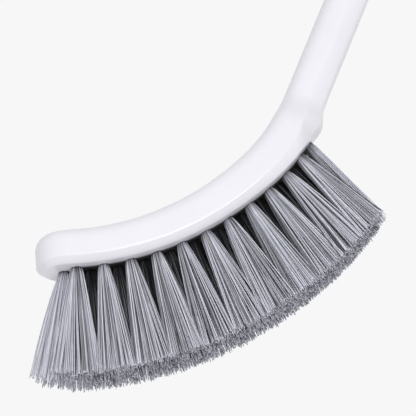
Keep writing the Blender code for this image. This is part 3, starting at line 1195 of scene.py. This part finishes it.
@dataclass(frozen=True)
class Tufts:
    """The tufts of grey bristle, each a root plug and a fan of filaments.

    A pair holds the lowest and the highest value, or the value at the toe and at the heel. A
    tuft's reach or half width is how far its tips spread to one side, along the head or across.
    """

    plan: TuftPlan
    moulding: Moulding
    finish: BristleFilament
    plug_clearance: float = 0.0003  # Gap between the plug and its hole.
    plug_recess: float = 0.0005  # How far the plug's top lies below the bristle face.
    plug_sides: int = 24
    strands: int = 130
    strand_sides: int = 5
    strand_radius: float = 0.00018
    root_depth: float = 0.0012  # How deep in the plug a filament starts.
    root_gather: float = 0.86  # How far the filaments draw together there.
    wall_gap: float = 0.00005  # Between the outermost filaments and the wall of the hole.
    disc_radii: Pair = (0.92, 1.0)  # Share of its even distance from the middle that one keeps.
    disc_turn: float = 0.25  # How far round the middle it may stray from its even place.
    fan_overlap: float = 0.60  # Spread of the tips, as a share of the way to the next tuft.
    toe_end_reach: float = 0.0094  # Of the very first tuft towards the toe.
    toe_side_reach: float = 0.0140  # Of the outer rows' first tufts towards the toe.
    heel_end_reach: float = 0.0033  # Of the very last tuft towards the handle.
    heel_side_reach: float = 0.0075  # Of the outer rows' last tufts towards the handle.
    outer_half_width: float = 0.0028  # Of an outer row's tufts.
    middle_half_width: float = 0.0036  # Of the middle row's tufts.
    end_half_width: float = 0.0054  # Of its first and last tufts, which round off the ends.
    toe_trim: float = 0.0048  # How much shorter the first tufts' outermost tips are cut.
    heel_gain: float = 0.0042  # How much longer the very last tuft's outermost tips are left.
    tip_scatter: float = 0.00026  # Of the trimmed length.
    side_scatter: float = 0.00055  # Of the tips sideways.
    bow: float = 0.0004
    splay: float = 0.0004  # How far the outermost filaments swell out above the hole.
    clumps: int = 9  # That a tuft's filaments gather in.
    clump_disc: float = 0.92  # Radius within which the clumps stand, on a unit disc.
    clump_pull: float = 0.16  # How far the tips gather in their clump.
    stray_share: float = 0.02  # Share of the filaments that stick out.
    stray_reach: float = 0.0016  # How far these stick out.
    loose: int = 2  # Filaments that stand off from either end of the brush.
    loose_reaches: Pair = (0.0008, 0.0022)  # How far their tips stand off.
    loose_from: float = 0.80  # Share of a tuft's spread from which filaments can be loose.
    mean_tone: float = 0.72
    lowest_tone: float = 0.15
    clump_tone_scatter: float = 0.06
    tone_scatter: float = 0.32  # Of one filament's lightness.
    open_light_gain: float = 0.13  # Painted light: how much lighter the filaments at the brush's ends are, standing open to the light.
    open_tone_scatter: float = 0.22  # Of one filament's lightness there.
    tip_tones: Pair = (0.10, 1.25)
    # The painted shade deep inside the brush, between the tufts:
    covers: Pair = (0.84, 1.20)  # Share of the inner shade that falls on a filament.
    gap_reaches: Pair = (0.0205, 0.0310)  # From the face, over which shade is painted dark inside the brush.
    gap_power: float = 3.0  # How suddenly that ends.
    gap_depth: float = 0.0034  # In from the brush's side to where the painted shade is darkest.
    gap_shade: float = 0.992  # How dark it is there.
    inner_shade: float = 0.72  # How dark it stays there further out.
    tip_reach: float = 0.0070  # From the tips, over which that grows light again.
    toe_side_share: float = 0.45  # How much of this shade falls on the outer rows' first tufts.
    rim_shade_tone: float = 0.30  # Painted shade: lightness of a filament at the rim of its hole.
    rim_reach: float = 0.0040  # From the face to where it is as light as further out.
    ring_shares: Sequence[float] = (0.0, 0.05, 0.12, 0.25, 0.45, 0.7, 0.93, 0.985, 1.0)

    def tip_centre(self, spot: Spot) -> Vector:
        """World place of the middle of a tuft's tips."""
        return self.moulding.mouth(spot) @ (OUTWARD * self.plan.length(spot))

    def sides(self, spot: Spot) -> tuple[Pair, Pair]:
        """Spread of a tuft's tips, and slope of the trimmed surface, to either side of it.

        Args:
            spot: Which tuft.

        Returns:
            Spread and slope towards the handle, and the same towards the toe.
        """
        inward = self.moulding.mouth(spot).inverted()
        centre = OUTWARD * self.plan.length(spot)
        found = {}
        for index in (spot.index - 1, spot.index + 1):
            if 0 <= index <= self.plan.last(spot.row):
                step = inward @ self.tip_centre(Spot(spot.row, index)) - centre
                found[step.x > 0.0] = (abs(step.x) * self.fan_overlap, step.z / step.x)
        single = next(iter(found.values()))
        handle_side, toe_side = found.get(False, single), found.get(True, single)
        is_middle = spot.row is Row.MIDDLE
        if spot.at_toe:
            reach = self.toe_end_reach if is_middle else self.toe_side_reach
            toe_side = (reach, toe_side[1])
        if self.plan.at_heel(spot):
            reach = self.heel_end_reach if is_middle else self.heel_side_reach
            handle_side = (reach, handle_side[1])
        return handle_side, toe_side

    def disc_places(self, rng: random.Random) -> list[Pair]:
        """Even places on a unit disc, a little scattered.

        Args:
            rng: Source of the scatter.

        Returns:
            As many places as a tuft has filaments.
        """
        places = []
        for radius, angle in sunflower(self.strands):
            radius *= rng.uniform(*self.disc_radii)
            angle += rng.uniform(-self.disc_turn, self.disc_turn)
            places.append((radius * math.cos(angle), radius * math.sin(angle)))
        return places

    def lay_clumps(self, rng: random.Random) -> list[Vector]:
        """Lays out the clumps of one tuft.

        Args:
            rng: Source of their places and tones.

        Returns:
            Their places on a unit disc, with their tone as the third number.
        """
        start = rng.uniform(0.0, math.tau)
        clumps = []
        for radius, angle in sunflower(self.clumps):
            tone = rng.gauss(self.mean_tone, self.clump_tone_scatter)
            clumps.append(polar(self.clump_disc * radius, start + angle, tone))
        return clumps

    @staticmethod
    def square_place(x: float, y: float) -> Pair:
        """Carries a place on a unit disc over to a unit square, evenly."""
        widen = math.hypot(x, y) / max(abs(x), abs(y), TINY)
        return x * widen, y * widen

    def cut_height(self, spot: Spot, slope: float, tip: Pair, fan_x: float) -> float:
        """Works out where a filament is cut, on the trimmed surface of the whole brush.

        Args:
            spot: Which tuft.
            slope: Slope of that surface along the head.
            tip: Place of the filament's tip along the head and across it.
            fan_x: Its share of the tuft's spread, above 0 towards the toe.

        Returns:
            The height of the cut in the tuft's frame.
        """
        level = self.plan.lean(spot.row).inverted() @ OUTWARD
        height = self.plan.length(spot) + (slope * tip[0] - tip[1] * level.y) / level.z
        if spot.at_toe:
            height -= self.toe_trim * max(fan_x, 0.0) ** 2
        elif self.plan.at_heel(spot) and spot.row is Row.MIDDLE:
            height -= self.heel_gain * min(fan_x, 0.0)
        return height

    def own_tone(self, rng: random.Random, clump_tone: float, enclosed: float) -> float:
        """Chooses a filament's lightness: its own, painted lighter at the brush's ends where light
        reaches it.

        Args:
            rng: Source of the scatter.
            clump_tone: Lightness of its clump.
            enclosed: How far it stands between tufts on all sides.

        Returns:
            The lightness.
        """
        scatter = blend(self.open_tone_scatter, self.tone_scatter, enclosed)
        # Painted light: lighter where the filament stands open at the brush's ends.
        tone = clump_tone + self.open_light_gain * (1.0 - enclosed) + rng.gauss(0.0, scatter)
        return min(max(tone, self.lowest_tone), 1.0)

    def fan(self, spot: Spot) -> list[Strand]:
        """Lays out one tuft's filaments.

        Args:
            spot: Which tuft.

        Returns:
            The filaments in the tuft's frame.
        """
        rng = random.Random(spot.seed)
        plan, row = self.plan, spot.row
        at_toe, at_heel = spot.at_toe, plan.at_heel(spot)
        handle_side, toe_side = self.sides(spot)
        root_reach = plan.hole_diameter / 2 - self.wall_gap - self.strand_radius
        gap_reach = blend(*self.gap_reaches, plan.share(spot))
        half_width, shaded, loose = self.outer_half_width, 1.0, 0
        if row is not Row.MIDDLE:
            shaded = self.toe_side_share if at_toe else shaded
        elif at_toe or at_heel:
            half_width, loose = self.end_half_width, self.loose
        else:
            half_width = self.middle_half_width
        clumps = self.lay_clumps(rng)
        strands = []
        for x, y in self.disc_places(rng):
            clump = min(clumps, key=lambda one: math.hypot(one.x - x, one.y - y))
            fan_x = blend(x, clump.x, self.clump_pull)
            fan_y = blend(y, clump.y, self.clump_pull)
            outermost = (at_toe and fan_x > 0.0) or (at_heel and fan_x < 0.0)
            if not outermost or fan_y * row.value < 0.0:
                fan_x, fan_y = self.square_place(fan_x, fan_y)
            stray = rng.random() < self.stray_share
            reach, slope = toe_side if fan_x > 0.0 else handle_side
            tip_x = rng.gauss(0.0, self.stray_reach if stray else self.side_scatter)
            tip_x += fan_x * reach
            if loose and outermost and abs(fan_x) > self.loose_from:
                tip_x += math.copysign(rng.uniform(*self.loose_reaches), tip_x)
                loose -= 1
            tip_y = fan_y * half_width + rng.gauss(0.0, self.side_scatter)
            tip_z = self.cut_height(spot, slope, (tip_x, tip_y), fan_x)
            tip_z += rng.gauss(0.0, self.tip_scatter)
            turn = rng.uniform(0.0, math.tau)
            distance = plan.place(spot) + x * root_reach
            enclosed = shaded * plan.enclosure(distance, plan.end_fade)
            strands.append(
                Strand(
                    root=Vector((x * root_reach, y * root_reach, 0.0)),
                    tip=Vector((tip_x, tip_y, tip_z)),
                    bow=polar(rng.gauss(0.0, self.bow), turn),
                    splay=Vector((x, y, 0.0)) * self.splay,
                    tone=self.own_tone(rng, clump.z, enclosed),
                    tip_tone=rng.uniform(*self.tip_tones),
                    enclosed=enclosed,
                    cover=rng.uniform(*self.covers),
                    gap_reach=gap_reach,
                )
            )
        return strands

    def shaded_tone_at(self, place: Vector, out: float, strand: Strand, share: float) -> float:
        """Lightness of a filament at a point, with shade painted deep between the tufts and at the
        rim of its hole, fading towards the tips.

        Args:
            place: The point in world space.
            out: Its distance from the bristle face.
            strand: The filament.
            share: How far along the filament it lies, 1 at the cut tip.

        Returns:
            The lightness, 0 where it is darkest.
        """
        side = self.plan.row_spacing + self.plan.hole_diameter / 2
        side += out * math.tan(self.plan.row_lean)
        depth = side - abs(place.y)
        # Painted shade: dark deep between the tufts and at the rim of the hole.
        fade = math.exp(-((out / strand.gap_reach) ** self.gap_power))
        shade = self.gap_shade * strand.enclosed * fade
        from_tip = (1.0 - share) * strand.tip.z
        inner = self.inner_shade * strand.enclosed * smooth_step(from_tip / self.tip_reach)
        dark = smooth_step(depth / self.gap_depth) * max(shade, inner)
        dark = min(dark * strand.cover, self.gap_shade)
        rim = blend(self.rim_shade_tone, 1.0, smooth_step(out / self.rim_reach))
        own = strand.tip_tone if share == 1.0 else strand.tone
        return own * rim * (1.0 - dark)

    def add_strands(self, bm: bmesh.types.BMesh, spot: Spot) -> None:
        """Draws all of a tuft's filaments out together, ring by ring.

        Args:
            bm: The tuft's shape so far.
            spot: Which tuft.
        """
        frame = self.moulding.mouth(spot)
        fan = self.fan(spot)
        number = bm.verts.layers.int.new("strand")
        corner = bm.verts.layers.int.new("corner")
        tone = bm.verts.layers.float[TONE_AND_SHADE_LAYER]
        faces = []
        for i, strand in enumerate(fan):
            start = strand.root * self.root_gather
            start.z = -self.plug_recess - self.root_depth
            circle = bmesh.ops.create_circle(
                bm,
                cap_ends=True,
                segments=self.strand_sides,
                radius=self.strand_radius,
                matrix=frame @ Matrix.Translation(start),
            )
            for k, vert in enumerate(circle["verts"]):
                vert[number], vert[corner] = i, k
            faces.append(circle["verts"][0].link_faces[0])
        for share in self.ring_shares:
            made = bmesh.ops.extrude_face_region(bm, geom=faces)["geom"]
            faces = only(made, bmesh.types.BMFace)
            for vert in only(made, bmesh.types.BMVert):
                strand = fan[vert[number]]
                angle = math.tau * vert[corner] / self.strand_sides
                local = strand.at(share) + polar(self.strand_radius, angle)
                vert.co = frame @ local
                vert[tone] = self.shaded_tone_at(vert.co, max(local.z, 0.0), strand, share)
        for layer in ("strand", "corner"):
            bm.verts.layers.int.remove(bm.verts.layers.int[layer])

    def build_one(self, spot: Spot, material: bpy.types.Material) -> bpy.types.Object:
        """Makes one tuft, the slice of bristle that fills its hole first, and dresses it.

        Args:
            spot: Which tuft.
            material: Its finish.

        Returns:
            The piece.
        """
        bm = bmesh.new()
        bm.verts.layers.float.new(TONE_AND_SHADE_LAYER)
        radius = self.plan.hole_diameter / 2 - self.plug_clearance
        ends = (self.plug_clearance - self.plan.hole_depth, -self.plug_recess)
        add_rod(bm, self.moulding.mouth(spot), radius, ends, self.plug_sides)
        self.add_strands(bm, spot)
        piece = link_mesh(f"bristle_tuft_{spot.label}", bm)
        dress(piece, material, f"tuft_{spot.label}")
        return piece

    def build(self) -> list[bpy.types.Object]:
        """Makes all the tufts."""
        material = self.finish.make()
        return [self.build_one(spot, material) for spot in self.plan.spots()]


@dataclass(frozen=True)
class Staples:
    """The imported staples, which keep their shape and get their finish."""

    nodes: dict[str, bpy.types.Object]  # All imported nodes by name.
    finish: DrawnSteel

    def dress(self) -> list[bpy.types.Object]:
        """Gives every staple its finish.

        Returns:
            The staples.
        """
        material = self.finish.make()
        staples = [node for name, node in self.nodes.items() if name.startswith("staple_")]
        for staple in staples:
            staple.data.materials.clear()
            staple.data.materials.append(material)
        return staples


# Stage


@dataclass(frozen=True)
class SoftLamp:
    """A soft lamp that faces the head of the brush."""

    name: str
    azimuth: float  # Degrees round the brush; 0 is in front, 90 on the +X side.
    elevation: float  # Degrees above the horizon.
    size: Pair  # Length and width.
    power: float  # In watts.
    distance: float = 1.6
    tilt: float = 0.0  # Degrees from the horizon to its length, anticlockwise for the brush.
    mirrored: bool = False  # Whether glossy surfaces mirror it.

    def place(self, aim: Vector) -> None:
        """Makes the lamp and points it.

        Args:
            aim: What it points at.
        """
        azimuth, elevation = math.radians(self.azimuth), math.radians(self.elevation)
        back = polar(math.cos(elevation), azimuth - QUARTER_TURN, math.sin(elevation))
        data = bpy.data.lights.new(self.name, "AREA")
        data.shape = "RECTANGLE"
        data.size, data.size_y = self.size
        data.energy = self.power
        lamp = add_object(self.name, data)
        lamp.rotation_mode = "QUATERNION"
        tilt = Quaternion(OUTWARD, math.radians(self.tilt))
        lamp.rotation_quaternion = (-back).to_track_quat("-Z", "Y") @ tilt
        lamp.location = aim + back * self.distance
        lamp.visible_camera = False
        lamp.visible_glossy = self.mirrored


@dataclass(frozen=True)
class Studio:
    """Camera, soft light, pale floor and pale surroundings."""

    aim: Vector = field(default_factory=lambda: Vector((-0.0198, 0.0, -0.2907)))
    roll: float = math.radians(20.65)  # How far the brush leans in the picture.
    rise: float = math.radians(25.0)  # How far below the brush the camera stands.
    distance: float = 2.0
    view_width: float = 0.1664  # Of the picture, at the brush.
    sensor_width: float = 36.0  # Of the camera, in millimetres.
    sight: float = 100.0  # How far the camera sees.
    backdrop: Colour = (0.930, 0.930, 0.939)  # The surroundings as the camera sees them.
    low_light: float = 0.57  # Strength of the surroundings' light from below.
    high_light: float = 0.56  # Strength of it from above.
    floor_level: float = -3.0
    floor_size: float = 60.0
    floor_colour: Colour = (0.88, 0.88, 0.89)
    floor_glow: float = 0.40  # Share of the backdrop's colour that the floor adds to its own.
    lamps: Sequence[SoftLamp] = (
        SoftLamp(
            "front_lamp",
            azimuth=4.3,
            elevation=10.7,
            size=(0.42, 0.18),
            power=6.6,
            tilt=46.0,
            mirrored=True,
        ),
        SoftLamp("low_lamp", azimuth=18.0, elevation=-40.0, size=(1.4, 1.4), power=10.0),
    )

    def add_camera(self) -> None:
        """Sets the camera where the photograph was taken from."""
        right = Vector((math.cos(self.roll), 0.0, math.sin(self.roll)))
        straight_up = Vector((-math.sin(self.roll), 0.0, math.cos(self.roll)))
        level = Vector((0.0, 1.0, 0.0))
        forward = level * math.cos(self.rise) + straight_up * math.sin(self.rise)
        data = bpy.data.cameras.new("camera")
        data.sensor_width = self.sensor_width
        data.lens = self.sensor_width * self.distance / self.view_width
        data.clip_end = self.sight
        camera = add_object("camera", data)
        origin = self.aim - forward * self.distance
        camera.matrix_world = stand(origin, right, right.cross(forward), -forward)
        bpy.context.scene.camera = camera

    def add_world(self) -> None:
        """Makes soft light all round, and the pale colour that the camera sees."""
        world = bpy.data.worlds.new("soft_surroundings")
        bpy.context.scene.world = world
        nodes = Nodes.cleared(world)
        direction = nodes.add("TexCoord", output="Generated")
        height = nodes.add("SeparateXYZ", {"Vector": direction}, "Z")
        strength = nodes.remap(height, (-1.0, 1.0), (self.low_light, self.high_light))
        light = nodes.add("Background", {"Color": opaque(WHITE), "Strength": strength})
        seen = nodes.add("Background", {"Color": opaque(self.backdrop)})
        view = nodes.add("MixShader", {"Fac": nodes.plain_view(), 1: light, 2: seen})
        nodes.show("OutputWorld", view)

    def add_floor(self) -> None:
        """Lays a wide pale floor far below the hanging brush, which keeps its shadow."""
        bm = bmesh.new()
        place = Matrix.Translation(OUTWARD * self.floor_level)
        bmesh.ops.create_grid(bm, size=self.floor_size / 2, matrix=place)
        floor = link_mesh("floor", bm)
        material = bpy.data.materials.new("pale_floor")
        nodes = Nodes.cleared(material)
        matt = nodes.add("BsdfDiffuse", {"Color": opaque(self.floor_colour)})
        strength = nodes.combine("MULTIPLY", nodes.plain_view(), self.floor_glow)
        glow = nodes.add("Emission", {"Color": opaque(self.backdrop), "Strength": strength})
        nodes.show("OutputMaterial", nodes.add("AddShader", {0: matt, 1: glow}))
        floor.data.materials.append(material)

    def build(self) -> None:
        """Makes the whole stage."""
        bpy.context.scene.view_settings.view_transform = "Standard"
        self.add_camera()
        self.add_world()
        self.add_floor()
        for lamp in self.lamps:
            lamp.place(self.aim)


def clear_scene() -> None:
    """Removes whatever the scene holds."""
    for obj in list(bpy.data.objects):
        bpy.data.objects.remove(obj, do_unlink=True)


def main() -> None:
    """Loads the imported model, builds and dresses every piece, and sets the stage."""
    clear_scene()
    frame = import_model()
    line = CentreLine()
    plan = TuftPlan(line)
    moulding = Moulding(line, plan, MouldedPlastic())
    LOG.info("made %s", moulding.build().name)
    for tuft in Tufts(plan, moulding, BristleFilament()).build():
        LOG.info("made %s with %d points", tuft.name, len(tuft.data.vertices))
    for staple in Staples(frame["nodes"], DrawnSteel()).dress():
        LOG.info("dressed %s", staple.name)
    Studio().build()


if __name__ == "__main__":
    logging.basicConfig(level=logging.INFO, format="%(name)s: %(message)s")
    main()
